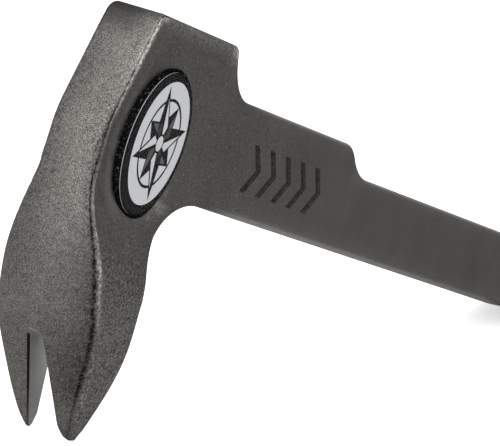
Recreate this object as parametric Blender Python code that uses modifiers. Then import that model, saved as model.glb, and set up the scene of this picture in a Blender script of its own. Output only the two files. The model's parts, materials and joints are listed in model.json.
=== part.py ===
"""Forged pry bar: a strike face, a rocker claw, a flat bar, a forked tail and a round badge.

Metres, +Z up. The bar is drawn in its own frame: +X runs down the handle, +Z towards the strike face
and Y across the width, with the origin on the badge's axis in the middle of the thickness. A parent
empty then tilts the tool so that it stands on its two claw tips and its tail.
"""

import math

import bmesh
import bpy
from mathutils import Matrix, Vector

MM = 0.001

# Forging, side view. Places are measured from the badge's axis: ahead and behind along X, up and
# down along Z.
THICK = 12.0 * MM  # across the cheeks, the neck and the bar
STRIKE_UP = 24.5 * MM
STRIKE_FRONT = 15.0 * MM  # front corner of the strike face, ahead
STRIKE_BACK = 24.8 * MM  # back corner of the strike face, behind
STRIKE_CORNER = 2.2 * MM
POLL_FOOT = 31.0 * MM  # where the sloping back of the head meets the neck, behind
POLL_FILLET = 13.0 * MM
NECK_UP = 14.3 * MM
NECK_END = 103.8 * MM
STEP_RUN = 6.5 * MM  # length of the slope from the neck down to the bar
STEP_ROUND = 9.0 * MM
STEP_FILLET = 12.0 * MM
BAR_UP = 8.3 * MM
BAR_DOWN = 9.35 * MM
BAR_END = 228.0 * MM
TAIL_LENGTH = 48.0 * MM
TAIL_UNDER = 7.0 * MM  # lower corner of the tail's end, down
TAIL_END_THICK = 3.6 * MM
TAIL_CORNER = 1.0 * MM
TAIL_BLEND = 60.0 * MM
CLAW_BACK = 9.4 * MM  # inner face of the claw at its root, behind
CLAW_FILLET = 17.0 * MM
TIP_BACK = 13.6 * MM
TIP_DROP = 63.8 * MM
TIP_ROUND = 0.7 * MM
FACE_FRONT = 23.7 * MM  # foremost line of the outer face, ahead
ROCKER_DROP = 28.6 * MM  # where that line would meet the straight run to the tips, down
ROCKER_RADIUS = 58.0 * MM
SHOULDER_UP = 0.2 * MM  # where that line would meet the leaning upper face, up
SHOULDER_ROUND = 22.0 * MM
EDGE_ROUND = 1.5 * MM  # rounding along the cheeks' rims
TINE_EDGE = 13.0 * MM  # length of each tine, up from its tip, whose edges stay sharp
TAIL_EDGE = 20.0 * MM  # length of the tail whose edges stay sharp

# Forging, widths.
FLARE_GAP = 0.2 * MM  # the claw starts to widen this far below the bar
CLAW_FULL = 31.5 * MM  # height where the claw is at its widest, down
CLAW_CLOSING = 36.0 * MM  # height where it starts to close in on the tips, down
CLAW_WIDTH = 21.4 * MM
TIP_WIDTH = 10.4 * MM  # over both tines at their tips
CROWN_RADIUS = 17.0 * MM  # of the outer face, across the claw
CROWN_START = 18.0 * MM  # height where the crown fades in, up
CROWN_FULL = 15.0 * MM  # height where the crown is whole, down
TAIL_WIDTH = 20.0 * MM
TAIL_FLARE_LEAD = 10.0 * MM  # the tail starts to widen this far before the taper
TAIL_FLARE_STOP = 10.0 * MM  # and is at its full width this far before the end

# Nail slots. A slot's mouth is its width at the tips or at the tail's end.
CLAW_SLOT_TOP = 42.6 * MM  # closed end of the slot, down
CLAW_SLOT_MOUTH = 8.35 * MM
CLAW_SLOT_ROUND = 1.3 * MM
CLAW_SLOT_SHIFT = 0.6 * MM  # the claw's slot is off centre, away from the badge
RELIEF_BACK = 15.6 * MM  # where the lips' back edges would pass the level of the tips, behind
RELIEF_LEAN = math.radians(29.0)  # of the lips' back edges, forwards of upright
RELIEF_SIDE = math.radians(32.0)  # how much the relief opens on each side
RELIEF_LEAD = 0.5 * MM  # the relief's cutter starts this far inside the slot
RELIEF_REACH = 14.0 * MM  # and ends this far behind the lips
TAIL_SLOT_DEPTH = 16.0 * MM
TAIL_SLOT_MOUTH = 7.0 * MM
TAIL_SLOT_ROUND = 1.2 * MM
CUT_OVERRUN = 10.0 * MM  # how far a cutter runs past the metal

# Badge, a stack in a shallow round seat on the -Y cheek.
SEAT_SINK = 0.3 * MM  # depth of the seat below the cheek
SEAT_CLEARANCE = 0.4 * MM  # between the pad and the seat's wall
PAD_RADIUS = 15.5 * MM
PAD_THICK = 0.9 * MM
FILM_INSET = 0.6 * MM  # the film is smaller than the pad by this much all round
FILM_THICK = 0.3 * MM
DOME_INSET = 0.2 * MM  # the dome stops short of the film's edge by this much
DOME_RISE = 1.1 * MM
DOME_EDGE = 0.25 * MM  # height of the dome's upright edge
LAYER_GAP = 0.3 * MM  # clearance between stacked pieces

# Fineness of the faceted solids.
ARC_STEP = math.radians(6.0)
ROW_STEP = 3.5 * MM
CROWN_ROWS = 4
RIM_SEGMENTS = 2
DISC_SIDES = 64
DOME_RINGS = 8
TILT_ROUNDS = 6
WELD = 0.001 * MM  # points nearer than this are one
AXIS_WELD = 0.01 * MM  # the same, on the dome's axis
FLAT_ANGLE = math.radians(0.01)  # faces that meet at less than this are one
RIM_ANGLE = math.radians(30.0)  # a rim turns by more than this
SHARP_ANGLE = math.radians(40.0)  # edges that turn by more than this are shaded sharp
WALL_SLANT = 0.5  # a wall's normal points less sideways than this, and a cheek's more
FORWARD_SLANT = 0.2  # the outer face's normal points more forwards than this

TAIL_END = BAR_END + TAIL_LENGTH
TAIL_OVER = TAIL_UNDER - TAIL_END_THICK
FLARE_TOP = BAR_DOWN + FLARE_GAP

# Frames that put a flat outline in place: in the side view, across the claw, and flat on the tail.
SIDE_VIEW = Matrix(((1, 0, 0, 0), (0, 0, -1, 0), (0, 1, 0, 0), (0, 0, 0, 1)))
FRONT_VIEW = Matrix(((0, 0, 1, 0), (1, 0, 0, 0), (0, 1, 0, 0), (0, 0, 0, 1)))
TAIL_VIEW = Matrix(((0, -1, 0, 0), (1, 0, 0, 0), (0, 0, 1, 0), (0, 0, 0, 1)))

FORGED_STEEL = ((0.11, 0.105, 0.10), 0.55, 1.0)
BLACK_FOAM = ((0.012, 0.012, 0.013), 0.85, 0.0)
PRINTED_FILM = ((0.55, 0.56, 0.57), 0.45, 0.0)
CLEAR_RESIN = ((0.9, 0.9, 0.9), 0.12, 0.0)


def clear_scene():
    for obj in list(bpy.data.objects):
        bpy.data.objects.remove(obj)


def new_collection(name):
    collection = bpy.data.collections.new(name)
    bpy.context.scene.collection.children.link(collection)
    return collection


def finish_material(name, look):
    colour, roughness, metallic = look
    material = bpy.data.materials.new(name)
    material.use_nodes = True
    shader = material.node_tree.nodes["Principled BSDF"]
    shader.inputs["Base Color"].default_value = (*colour, 1.0)
    shader.inputs["Roughness"].default_value = roughness
    shader.inputs["Metallic"].default_value = metallic
    return material


def smooth_blend(value, start, end):
    """0 at start, 1 at end, and level at both."""
    share = min(max((value - start) / (end - start), 0.0), 1.0)
    return share * share * (3.0 - 2.0 * share)


def corner_reach(corners):
    """Length that each corner's fillet takes of its edges, limited to what those edges hold."""
    count = len(corners)
    places = [Vector(corner[:2]) for corner in corners]
    turns = []
    wanted = []
    for index in range(count):
        before = places[index] - places[index - 1]
        after = places[(index + 1) % count] - places[index]
        turns.append(-before.angle_signed(after))
        wanted.append(corners[index][2] * math.tan(abs(turns[-1]) / 2.0))
    reach = list(wanted)
    for index in range(count):
        following = (index + 1) % count
        length = (places[following] - places[index]).length
        asked = wanted[index] + wanted[following]
        if asked > length:
            reach[index] = min(reach[index], wanted[index] * length / asked)
            reach[following] = min(reach[following], wanted[following] * length / asked)
    return places, turns, reach


def rounded_outline(corners):
    """Points round a closed outline of (across, up, fillet radius) corners."""
    places, turns, reach = corner_reach(corners)
    points = []
    for index, place in enumerate(places):
        if reach[index] == 0.0:
            points.append(place)
            continue
        into = (place - places[index - 1]).normalized()
        start = place - into * reach[index]
        radius = reach[index] / math.tan(abs(turns[index]) / 2.0)
        side = Vector((-into.y, into.x)) * math.copysign(1.0, turns[index])
        centre = start + side * radius
        steps = max(1, math.ceil(abs(turns[index]) / ARC_STEP))
        for step in range(steps + 1):
            arm = Matrix.Rotation(turns[index] * step / steps, 2) @ (start - centre)
            points.append(centre + arm)
    return points


def flat_solid(name, outline, half_width, frame):
    """A mesh of the filled outline, as thick as twice half_width, turned into place by frame."""
    curve = bpy.data.curves.new(name, "CURVE")
    curve.dimensions = "2D"
    curve.fill_mode = "BOTH"
    curve.extrude = half_width
    spline = curve.splines.new("POLY")
    spline.points.add(len(outline) - 1)
    for point, place in zip(spline.points, outline):
        point.co = (place.x, place.y, 0.0, 1.0)
    spline.use_cyclic_u = True
    drawn = bpy.data.objects.new(name + "_outline", curve)
    bpy.context.scene.collection.objects.link(drawn)
    graph = bpy.context.evaluated_depsgraph_get()
    mesh = bpy.data.meshes.new_from_object(drawn.evaluated_get(graph))
    bpy.data.objects.remove(drawn)
    bpy.data.curves.remove(curve)
    mesh.name = name
    shape = bmesh.new()
    shape.from_mesh(mesh)
    bmesh.ops.remove_doubles(shape, verts=shape.verts, dist=WELD)
    flat_edges = [edge for edge in shape.edges if edge.calc_face_angle() < FLAT_ANGLE]
    bmesh.ops.dissolve_edges(shape, edges=flat_edges)
    bmesh.ops.transform(shape, matrix=frame, verts=shape.verts)
    bmesh.ops.recalc_face_normals(shape, faces=shape.faces)
    shape.to_mesh(mesh)
    shape.free()
    return mesh


def side_outline():
    return rounded_outline(
        [
            (-STRIKE_FRONT, STRIKE_UP, STRIKE_CORNER),
            (STRIKE_BACK, STRIKE_UP, STRIKE_CORNER),
            (POLL_FOOT, NECK_UP, POLL_FILLET),
            (NECK_END, NECK_UP, STEP_ROUND),
            (NECK_END + STEP_RUN, BAR_UP, STEP_FILLET),
            (BAR_END, BAR_UP, TAIL_BLEND),
            (TAIL_END, -TAIL_OVER, TAIL_CORNER),
            (TAIL_END, -TAIL_UNDER, TAIL_CORNER),
            (BAR_END, -BAR_DOWN, TAIL_BLEND),
            (CLAW_BACK, -BAR_DOWN, CLAW_FILLET),
            (TIP_BACK, -TIP_DROP, TIP_ROUND),
            (-FACE_FRONT, -ROCKER_DROP, ROCKER_RADIUS),
            (-FACE_FRONT, SHOULDER_UP, SHOULDER_ROUND),
        ]
    )


def claw_width(height):
    """Width of the claw at a height: it swells below the bar and closes in on the tips along a parabola."""
    swell = smooth_blend(-height, FLARE_TOP, CLAW_FULL)
    share = max(0.0, (-height - CLAW_CLOSING) / (TIP_DROP - CLAW_CLOSING))
    return THICK + (CLAW_WIDTH - THICK) * swell - (CLAW_WIDTH - TIP_WIDTH) * share**2


def tail_width(along):
    swell = smooth_blend(along, BAR_END - TAIL_FLARE_LEAD, TAIL_END - TAIL_FLARE_STOP)
    return THICK + (TAIL_WIDTH - THICK) * swell


def crown_drop(place):
    """How far the outer face falls back at this place across the claw."""
    across = min(abs(place.y), CROWN_RADIUS)
    whole = CROWN_RADIUS - math.sqrt(CROWN_RADIUS**2 - across**2)
    return whole * smooth_blend(-place.z, -CROWN_START, CROWN_FULL)


def even_rows(start, end):
    """Places from start to end, about ROW_STEP apart."""
    rows = max(2, round(abs(end - start) / ROW_STEP))
    return [start + (end - start) * row / rows for row in range(rows + 1)]


def slice_faces(shape, is_picked, axis, places):
    """Cuts the picked faces with planes square to the axis, at these places along it."""
    for place in places:
        faces = [face for face in shape.faces if is_picked(face)]
        edges = {edge for face in faces for edge in face.edges}
        verts = {vert for face in faces for vert in face.verts}
        geometry = [*verts, *edges, *faces]
        bmesh.ops.bisect_plane(shape, geom=geometry, plane_co=axis * place, plane_no=axis, dist=WELD)


def is_any_face(face):
    return face.is_valid


def is_outer_face(face):
    """True on the wall that leads from the strike face round to the tips."""
    return face.normal.x < -FORWARD_SLANT and abs(face.normal.y) < WALL_SLANT


def widen(shape):
    """Flares the claw and the tail by moving the sliced cheeks outwards."""
    for vert in shape.verts:
        if vert.co.z < -FLARE_TOP:
            vert.co.y *= claw_width(vert.co.z) / THICK
        elif vert.co.x > BAR_END - TAIL_FLARE_LEAD:
            vert.co.y *= tail_width(vert.co.x) / THICK


def crown(shape):
    """Rounds the outer face across its width: each place moves back towards the rocker's centre."""
    turn = math.atan2(TIP_BACK + FACE_FRONT, TIP_DROP - ROCKER_DROP)
    rise = ROCKER_RADIUS * math.tan(turn / 2.0)
    centre = Vector((ROCKER_RADIUS - FACE_FRONT, 0.0, rise - ROCKER_DROP))
    outer = {vert for face in shape.faces if is_outer_face(face) for vert in face.verts}
    for vert in outer:
        back = centre - vert.co
        back.y = 0.0
        vert.co += back.normalized() * crown_drop(vert.co)


def round_rims(shape):
    """Rounds the rims between the cheeks and the walls, except on the tines and at the tail's end."""

    def is_rim(edge):
        if len(edge.link_faces) != 2 or edge.calc_face_angle() < RIM_ANGLE:
            return False
        first, second = edge.verts[0].co, edge.verts[1].co
        middle = (first + second) / 2.0
        one_side = first.y * second.y > 0.0
        return one_side and middle.z > TINE_EDGE - TIP_DROP and middle.x < TAIL_END - TAIL_EDGE

    rims = [edge for edge in shape.edges if is_rim(edge)]
    bmesh.ops.bevel(
        shape,
        geom=rims,
        offset=EDGE_ROUND,
        segments=RIM_SEGMENTS,
        profile=0.5,
        affect="EDGES",
        clamp_overlap=True,
        material=-1,
    )


def shape_forging(mesh):
    shape = bmesh.new()
    shape.from_mesh(mesh)

    widths = [THICK * (row / CROWN_ROWS - 1.0) / 2.0 for row in range(1, CROWN_ROWS * 2)]
    slice_faces(shape, is_any_face, Vector((0, 0, 1)), even_rows(-FLARE_TOP, -TIP_DROP + TIP_ROUND))
    flare_start = BAR_END - TAIL_FLARE_LEAD
    slice_faces(shape, is_any_face, Vector((1, 0, 0)), even_rows(flare_start, TAIL_END - TAIL_CORNER))
    slice_faces(shape, is_outer_face, Vector((0, 1, 0)), widths)
    widen(shape)
    crown(shape)
    round_rims(shape)
    bmesh.ops.recalc_face_normals(shape, faces=shape.faces)
    shape.to_mesh(mesh)
    shape.free()


def slot_outline(depth, mouth, round_radius, grown=0.0):
    """A V open downwards, whose walls touch a circle at its closed end, grown all round by this much.

    The line of its mouth is at height 0.
    """
    rise = depth - round_radius
    reach = math.hypot(mouth / 2.0, rise)
    lean = math.atan2(mouth / 2.0, rise) - math.asin(round_radius / reach)
    apex = rise + (round_radius + grown) / math.sin(lean)
    foot = (apex + CUT_OVERRUN) * math.tan(lean)
    return rounded_outline(
        [(0.0, apex, round_radius + grown), (-foot, -CUT_OVERRUN, 0.0), (foot, -CUT_OVERRUN, 0.0)]
    )


def relief_mesh(name, slot):
    """The relief behind the claw's slot: the slot's own outline, which grows towards the back of the claw."""
    frame = Matrix(
        (
            (0.0, -math.tan(RELIEF_LEAN), math.cos(RELIEF_LEAN), RELIEF_BACK),
            (1.0, 0.0, 0.0, CLAW_SLOT_SHIFT),
            (0.0, 1.0, math.sin(RELIEF_LEAN), -TIP_DROP),
            (0.0, 0.0, 0.0, 1.0),
        )
    )
    shape = bmesh.new()
    rings = []
    for behind in (-RELIEF_LEAD, RELIEF_REACH):
        outline = slot_outline(*slot, grown=behind * math.tan(RELIEF_SIDE))
        rings.append([shape.verts.new(frame @ Vector((*place, behind))) for place in outline])
    lips, back = rings
    shape.faces.new(lips)
    shape.faces.new(back)
    for index in range(len(lips)):
        shape.faces.new((lips[index - 1], lips[index], back[index], back[index - 1]))
    bmesh.ops.recalc_face_normals(shape, faces=shape.faces)
    mesh = bpy.data.meshes.new(name)
    shape.to_mesh(mesh)
    shape.free()
    return mesh


def cut_away(target, name, mesh, collection):
    cutter = bpy.data.objects.new(name, mesh)
    cutter.hide_render = True
    cutter.display_type = "WIRE"
    collection.objects.link(cutter)
    boolean = target.modifiers.new(name, "BOOLEAN")
    boolean.operation = "DIFFERENCE"
    boolean.solver = "EXACT"
    boolean.object = cutter
    return cutter


def make_forged_bar(parts, cutters):
    mesh = flat_solid("forged_bar", side_outline(), THICK / 2.0, SIDE_VIEW)
    shape_forging(mesh)
    bar = bpy.data.objects.new("forged_bar", mesh)
    parts.objects.link(bar)
    bar.data.materials.append(finish_material("forged_steel", FORGED_STEEL))

    claw_slot = (TIP_DROP - CLAW_SLOT_TOP, CLAW_SLOT_MOUTH, CLAW_SLOT_ROUND)
    claw_reach = FACE_FRONT + TIP_BACK + CUT_OVERRUN
    claw_frame = Matrix.Translation((0.0, CLAW_SLOT_SHIFT, -TIP_DROP)) @ FRONT_VIEW
    claw_cut = flat_solid("claw_slot_cut", slot_outline(*claw_slot), claw_reach, claw_frame)
    relief_cut = relief_mesh("claw_relief_cut", claw_slot)

    tail_v = slot_outline(TAIL_SLOT_DEPTH, TAIL_SLOT_MOUTH, TAIL_SLOT_ROUND)
    tail_frame = Matrix.Translation((TAIL_END, 0.0, 0.0)) @ TAIL_VIEW
    tail_cut = flat_solid("tail_slot_cut", tail_v, BAR_UP + BAR_DOWN + CUT_OVERRUN, tail_frame)

    seat_cut = disc_mesh("badge_seat_cut", PAD_RADIUS + SEAT_CLEARANCE, CLAW_WIDTH)
    seat_cut.transform(cheek_frame(CLAW_WIDTH / 2.0 - SEAT_SINK))
    cuts = [
        cut_away(bar, "claw_slot_cut", claw_cut, cutters),
        cut_away(bar, "claw_relief_cut", relief_cut, cutters),
        cut_away(bar, "tail_slot_cut", tail_cut, cutters),
        cut_away(bar, "badge_seat_cut", seat_cut, cutters),
    ]
    return bar, cuts


def cheek_frame(outside):
    """Turns +Z to point out of the -Y cheek, with the origin this far outside it on the badge's axis."""
    return Matrix.Translation((0.0, -(THICK / 2.0 + outside), 0.0)) @ Matrix.Rotation(math.pi / 2.0, 4, "X")


def disc_mesh(name, radius, thickness):
    shape = bmesh.new()
    bmesh.ops.create_cone(
        shape,
        cap_ends=True,
        segments=DISC_SIDES,
        radius1=radius,
        radius2=radius,
        depth=thickness,
    )
    mesh = bpy.data.meshes.new(name)
    shape.to_mesh(mesh)
    shape.free()
    mesh.shade_smooth()
    mesh.set_sharp_from_angle(angle=SHARP_ANGLE)
    return mesh


def make_disc(name, radius, base, thickness, material, parts):
    """A flat round piece whose back is base outside the -Y cheek."""
    disc = bpy.data.objects.new(name, disc_mesh(name, radius, thickness))
    disc.matrix_basis = cheek_frame(base + thickness / 2.0)
    disc.data.materials.append(material)
    parts.objects.link(disc)
    return disc


def make_dome(name, radius, base, material, parts):
    """A lens-shaped cap: an upright edge and a spherical top, turned about its own axis."""
    cap_rise = DOME_RISE - DOME_EDGE
    sphere = (radius**2 + cap_rise**2) / (2.0 * cap_rise)
    sweep = math.asin(radius / sphere)
    profile = []
    for ring in range(DOME_RINGS + 1):
        angle = sweep * ring / DOME_RINGS
        profile.append((sphere * math.sin(angle), 0.0, DOME_RISE - sphere * (1.0 - math.cos(angle))))
    profile.append((radius, 0.0, 0.0))
    profile.append((0.0, 0.0, 0.0))
    mesh = bpy.data.meshes.new(name)
    mesh.from_pydata(profile, [(index, index + 1) for index in range(len(profile) - 1)], [])
    dome = bpy.data.objects.new(name, mesh)
    turn = dome.modifiers.new("turn", "SCREW")
    turn.axis = "Z"
    turn.steps = DISC_SIDES
    turn.render_steps = DISC_SIDES
    turn.use_merge_vertices = True
    turn.merge_threshold = AXIS_WELD
    dome.matrix_basis = cheek_frame(base)
    dome.data.materials.append(material)
    parts.objects.link(dome)
    return dome


def make_badge(parts):
    pad_base = LAYER_GAP - SEAT_SINK
    film_base = pad_base + PAD_THICK + LAYER_GAP
    dome_base = film_base + FILM_THICK + LAYER_GAP
    film_radius = PAD_RADIUS - FILM_INSET
    foam = finish_material("black_foam", BLACK_FOAM)
    film = finish_material("printed_film", PRINTED_FILM)
    resin = finish_material("clear_resin", CLEAR_RESIN)
    return [
        make_disc("badge_pad", PAD_RADIUS, pad_base, PAD_THICK, foam, parts),
        make_disc("badge_film", film_radius, film_base, FILM_THICK, film, parts),
        make_dome("badge_dome", film_radius - DOME_INSET, dome_base, resin, parts),
    ]


def resting_frame(bar):
    """The turn and the place that stand the bar on its tips and its tail, its box centred over the origin."""
    graph = bpy.context.evaluated_depsgraph_get()
    evaluated = bar.evaluated_get(graph)
    points = [vert.co.copy() for vert in evaluated.data.vertices]
    head = [point for point in points if point.x < NECK_END]
    tail = [point for point in points if point.x > BAR_END]
    tilt = 0.0
    for _ in range(TILT_ROUNDS):
        down = Vector((math.sin(tilt), 0.0, -math.cos(tilt)))
        tip = max(head, key=down.dot)
        end = max(tail, key=down.dot)
        tilt = math.atan2(end.z - tip.z, end.x - tip.x)
    turn = Matrix.Rotation(tilt, 3, "Y")
    turned = [turn @ point for point in points]
    middle = (min(point.x for point in turned) + max(point.x for point in turned)) / 2.0
    floor = min(point.z for point in turned)
    return tilt, Vector((-middle, 0.0, -floor))


def main():
    clear_scene()
    parts = new_collection("pry_bar")
    cutters = new_collection("pry_bar_cutters")
    bar, cuts = make_forged_bar(parts, cutters)
    pieces = [bar, *cuts, *make_badge(parts)]
    bpy.context.view_layer.update()
    tilt, place = resting_frame(bar)
    stand = bpy.data.objects.new("pry_bar_stand", None)
    stand.rotation_euler = (0.0, tilt, 0.0)
    stand.location = place
    parts.objects.link(stand)
    for piece in pieces:
        piece.parent = stand
    bpy.context.view_layer.update()


main()
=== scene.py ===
import json
import math

import bmesh
import bpy
from mathutils import Euler, Matrix, Vector, kdtree, noise


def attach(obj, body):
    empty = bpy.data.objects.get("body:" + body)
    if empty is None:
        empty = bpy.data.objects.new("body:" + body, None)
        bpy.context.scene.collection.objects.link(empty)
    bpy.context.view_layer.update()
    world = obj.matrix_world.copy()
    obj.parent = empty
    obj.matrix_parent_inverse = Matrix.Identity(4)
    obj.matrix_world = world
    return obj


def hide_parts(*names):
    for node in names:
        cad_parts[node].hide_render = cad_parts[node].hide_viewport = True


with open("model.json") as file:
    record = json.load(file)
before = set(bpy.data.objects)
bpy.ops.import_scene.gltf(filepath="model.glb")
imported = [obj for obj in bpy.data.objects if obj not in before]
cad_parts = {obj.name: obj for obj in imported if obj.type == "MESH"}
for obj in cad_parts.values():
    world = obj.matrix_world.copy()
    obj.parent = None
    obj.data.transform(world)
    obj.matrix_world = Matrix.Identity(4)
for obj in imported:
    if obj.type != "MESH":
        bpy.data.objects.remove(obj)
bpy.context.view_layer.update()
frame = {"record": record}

MM = 0.001
ALONG = Vector((1, 0, 0))
ACROSS = Vector((0, 1, 0))
UP = Vector((0, 0, 1))

# Side outline of the forging: (along, up, corner radius).
STRIKE_MIDDLE = Vector((4.9, 0.0, 24.5))
STRIKE_UP = 24.68
NECK_TOP = 14.5
BAR_TOP = 8.3
TAIL_START = 228.0
TAIL_END = 276.0
FACE_FRONT = -23.7
SIDE_CORNERS = (
    (-15.7, STRIKE_UP, 3.0),
    (26.4, STRIKE_UP, 2.8),
    (31.6, NECK_TOP, 17.0),
    (104.2, NECK_TOP, 10.0),
    (112.6, BAR_TOP, 21.5),
    (TAIL_START, BAR_TOP, 60.0),
    (TAIL_END, -3.4, 1.0),
    (TAIL_END, -7.0, 1.0),
    (TAIL_START, -9.5, 60.0),
    (23.5, -9.45, 32.5),
    (10.7, -21.0, 9.7),
    (11.1, -29.0, 40.0),
    (13.2, -43.0, 60.0),
    (13.2, -64.4, 1.15),
    (FACE_FRONT, -28.6, 58.0),
    (FACE_FRONT, 0.2, 22.0),
)
THICK = 12.0
ARC_STEP = math.radians(2.0)  # an arc's steps turn by at least this much
ARC_CHORD = 0.5  # and are at least this long
ARC_STEPS = 3  # but an arc has at least this many
WELD = 0.001  # places nearer than this are one
SLIVER = 0.1  # edges of the outline shorter than this are closed up
EDGE_STEP = 2.5  # and longer ones than this are divided

# The claw swells below the bar and closes in on its tips. A drop is measured downwards.
FLARE_TOP = 9.55  # drop where the claw starts to widen
CLAW_FULL = 31.5  # drop where it is at its widest
CLAW_CLOSING = 38.0  # drop where it starts to close in
CLAW_WIDTH = 21.9
TIP_WIDTH = 10.4  # over both tines
TIP_DROP = 63.8
FAR_SLIM = 0.08  # how much less the far side swells
FAR_SLIM_SPOT = (-26.0, 8.0)  # and at which height
TAIL_WIDTH = 20.0
TAIL_FLARE = (218.0, 266.0)  # where the tail widens, along

# The outer face is crowned: its sides draw back towards the middle of the rocker.
ROCKER_CENTRE = Vector((34.3, 0.0, -3.587))
CROWN_RADIUS = 17.0
CROWN_RUN = (-34.0, 15.0)  # drops over which the crown grows
FAR_CROWN = 0.75  # how much flatter the far tine is
FAR_CROWN_RUN = (22.0, 46.0)
TIP_CROWN_RUN = (50.0, 61.0)  # drops over which the whole tine draws back with its face
TIP_KEEPS = 0.85  # share of the crown's up and down part that the tips leave out

# Each tine's end is rounded: (middle across, half width, lift at that half width, lift of all).
NEAR_TIP = (4.9, 1.4, 0.5, 0.31)
FAR_TIP = (4.0, 1.1, 0.25, 0.0)
TIP_FROM = 59.5  # drop where the rounding starts
TIP_ASIDE = 2.0  # the most that the lift grows to, in times its named size

# Rims: the widest rounding, and what each side takes.
RIM_WIDEST = 2.2
RIM_SEGMENTS = 10
RIM_TOP = 1.2
RIM_UNDER = 2.1
RIM_UNDER_DROP = 20.0  # the bar's underside ends at this drop
RIM_OUTER = (0.6, 1.6)  # at the head and at the claw
RIM_OUTER_RUN = (4.0, -12.0)
RIM_INNER = 1.7
RIM_TIP = 0.3
RIM_TIP_RUN = 18.0
RIM_BACK_RUN = 8.0
RIM_TAIL_RUN = 26.0
FLAT_HALF = THICK / 2.0 - RIM_WIDEST

# How finely the blank's faces are divided before they are shaped.
HEAD_TOP = 22.2
ROW_STEP = 1.0
LEAST_ROWS = 2
TIP_MARGIN = 0.7
TAIL_MARGIN = 1.0
TAIL_STEP = 2.0
COLUMN_STEP = 2.0 * FLAT_HALF / 24
TINE_DROP = 48.0  # the tines' columns start at this drop
TIP_COLUMNS = 5.5
TIP_STEP = 0.25
SLOPE_NORMAL = Vector((-0.95, 0.0, 0.3123))  # square to the cheek's edge, above the badge
SLOPE_RUN = (21.9, 20.2)
SLOPE_STEP = 0.2
CHEEK_FRONT = -14.0
CHEEK_STEP = 3.0
CHEEK_RUN = (23.0, -7.0)
CHEEK_ROW_STEP = 2.5
CREST_CHEEK_TOP = 4.0
CREST_CHEEK_RUN = (-23.4, -19.4)
CREST_CHEEK_STEP = 0.25
CLAW_CHEEK_RUN = (-23.4, -9.0)
CLAW_CHEEK_STEP = 0.4
CLAW_BACK_RUN = (-9.0, 12.0)
CLAW_BACK_STEP = 1.75
OUTER_SLANT = -0.2  # an outer face's normal points further forwards than this
WALL_SLANT = 0.5  # a wall's normal points less sideways than this
CHEEK_SLANT = 0.99  # a flat cheek's normal points more sideways than this
CLAW_SLANT = 0.9  # and a claw cheek's more than this

# The strike face falls a little to the far side.
STRIKE_TILT = 0.036
STRIKE_TILT_RUN = (18.0, 24.0)

# The crest, where the outer face meets a cheek: a groove with a bead beside it, by height.
# Across the crest, 0 is the corner, less is on the outer face and more on the cheek:
# (height, groove across, groove width, groove depth, bead beside it, bead width, bead height).
CREST_STEPS = (
    (24.0, 0.0, 0.14, 0.05, 0.6, 0.75, 0.06),
    (9.0, 0.0, 0.14, 0.05, 0.6, 0.7, 0.06),
    (2.0, 0.2, 0.18, 0.08, 0.65, 0.6, 0.08),
    (-3.0, 0.7, 0.24, 0.16, 0.8, 0.5, 0.14),
    (-8.0, 1.2, 0.3, 0.24, 0.95, 0.5, 0.19),
    (-14.0, 1.2, 0.34, 0.26, 1.0, 0.5, 0.2),
    (-18.0, 0.85, 0.36, 0.26, 1.05, 0.5, 0.2),
    (-22.0, 0.35, 0.44, 0.26, 1.25, 0.65, 0.2),
    (-26.0, -0.25, 0.5, 0.26, 1.35, 0.75, 0.18),
    (-32.0, 0.05, 0.64, 0.28, 1.35, 0.75, 0.12),
    (-38.0, 0.3, 0.7, 0.28, 1.35, 0.7, 0.06),
    (-43.0, -0.3, 0.6, 0.26, 1.1, 0.6, 0.03),
    (-48.0, -1.15, 0.52, 0.24, 1.1, 0.6, 0.0),
    (-52.0, -1.5, 0.44, 0.2, 1.1, 0.6, 0.0),
    (-57.0, -1.5, 0.32, 0.14, 1.1, 0.6, 0.0),
    (-63.8, -0.9, 0.18, 0.06, 1.1, 0.6, 0.0),
)
FAR_GROOVE = 0.6  # place of the groove across the far crest
GROOVE_LEADS = (1.5, 0.9)  # times wider on the outer face, at the claw and at the head
GROOVE_LEAD_RUN = (-26.0, -16.0)
CREST_LUMP = 1.3  # size of the lumps along the crest
CREST_LUMPS = 0.7  # and how much they change its height
CREST_TIP_RUN = (-64.0, -60.0)  # heights over which the crest fades out
CREST_TOP_RUN = (-23.5, -19.0)  # drops over which it does so at the strike face
CREST_REACH = 6.0  # places nearer the outline than this belong to the crest
CREST_NEAR = 0.6  # a finished place this near a place of the crest is across it by as much
CREST_FAR = 9.0  # any other is this far across

# The claw's slot and the tail's: (depth, mouth, width at the closed end, roundings there).
CLAW_SLOT = (21.2, 7.9, 3.2, (1.5, 0.6))
CLAW_SLOT_REACH = 60.0
TAIL_SLOT = (16.0, 7.0, 2.4, (1.1, 1.1))
TAIL_SLOT_REACH = 30.0
SLOT_SHIFT = 0.8  # the claw's slot is off centre, away from the badge
SLOT_LEAN = -0.015
OVERRUN = 10.0  # how far a cutter runs past the metal

# Behind the slot its walls open out.
RELIEF_BACK = 15.6
RELIEF_LEAN = math.radians(29.0)
RELIEF_SIDE = math.radians(32.0)
RELIEF_SPAN = (-0.5, 14.0)
RELIEF_RINGS = [(behind, behind * math.tan(RELIEF_SIDE), 0.0) for behind in RELIEF_SPAN]

# A seam runs down the far wall of the slot, just behind the outer face; its near-black colour is
# painted shade.
SEAM_SLOT = (20.2, 7.9, 3.2, (1.5, 0.6))
SEAM_SPAN = (-0.5, 1.9)
SEAM_SHIFT = 0.3
SEAM_SLOPE = 0.25
SEAM_SHEAR = 0.99
SEAM_FOOT = 12.1
SEAM_RINGS = [(behind, 0.0, SEAM_SHIFT - SEAM_SLOPE * behind) for behind in SEAM_SPAN]

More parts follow.
